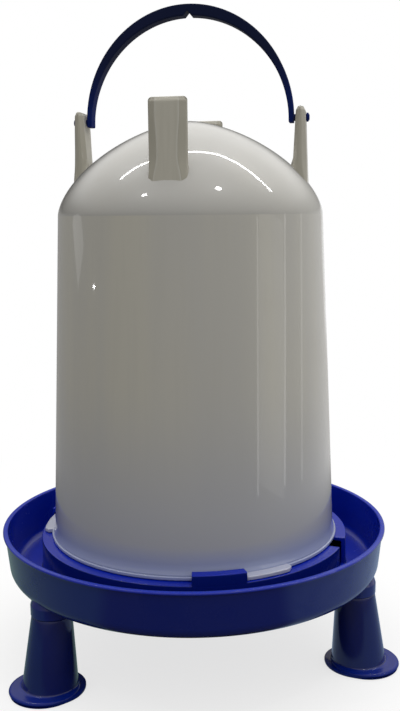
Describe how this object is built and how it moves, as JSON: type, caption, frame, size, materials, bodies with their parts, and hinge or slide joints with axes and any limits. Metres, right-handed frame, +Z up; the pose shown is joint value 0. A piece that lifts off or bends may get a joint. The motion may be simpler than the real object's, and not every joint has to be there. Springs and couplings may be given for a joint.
{
  "type": "poultry drinker",
  "caption": "Poultry drinker: translucent domed water bell with a carrying bail, twist-locked into a round blue drinking tray that stands on push-in legs.",
  "frame": {"origin": "centre of the tray's flat underside, which is the point below the bell's axis where the tray would rest with its legs pulled off; the ground under the feet is 65 mm lower", "axes": "+Z up along the bell's axis; X along the bail's pivot axis, with +X at the right when the drinker is seen from the side of the picture"},
  "size_m": [0.3117, 0.3079, 0.4925],
  "materials": {
    "blue_plastic": "glossy moulded polypropylene, royal blue",
    "dark_blue_plastic": "glossy moulded plastic, dark blue",
    "milky_plastic": "glossy translucent natural polyethylene, warm grey white",
    "navy_plastic": "semi-gloss moulded plastic, navy"
  },
  "bodies": {
    "base": {"tray": "blue_plastic", "leg_1": "dark_blue_plastic", "leg_2": "dark_blue_plastic", "leg_3": "dark_blue_plastic"},
    "mouth": {"mouth_skirt": "milky_plastic"},
    "bell": {"bell": "milky_plastic"},
    "bail": {"bail": "navy_plastic"}
  },
  "joints": [
    {"name": "bell_lift", "type": "slide", "parent": "base", "child": "mouth", "axis": [0, 0, 1], "range_m": [0, 0.05]},
    {"name": "bell_twist", "type": "hinge", "parent": "mouth", "child": "bell", "pos_m": [0, 0, 0.0283], "axis": [0, 0, 1], "range_deg": [-16.5, 0]},
    {"name": "bail_swing", "type": "hinge", "parent": "bell", "child": "bail", "pos_m": [0, 0, 0.345], "axis": [1, 0, 0], "range_deg": [-80, 80]}
  ]
}
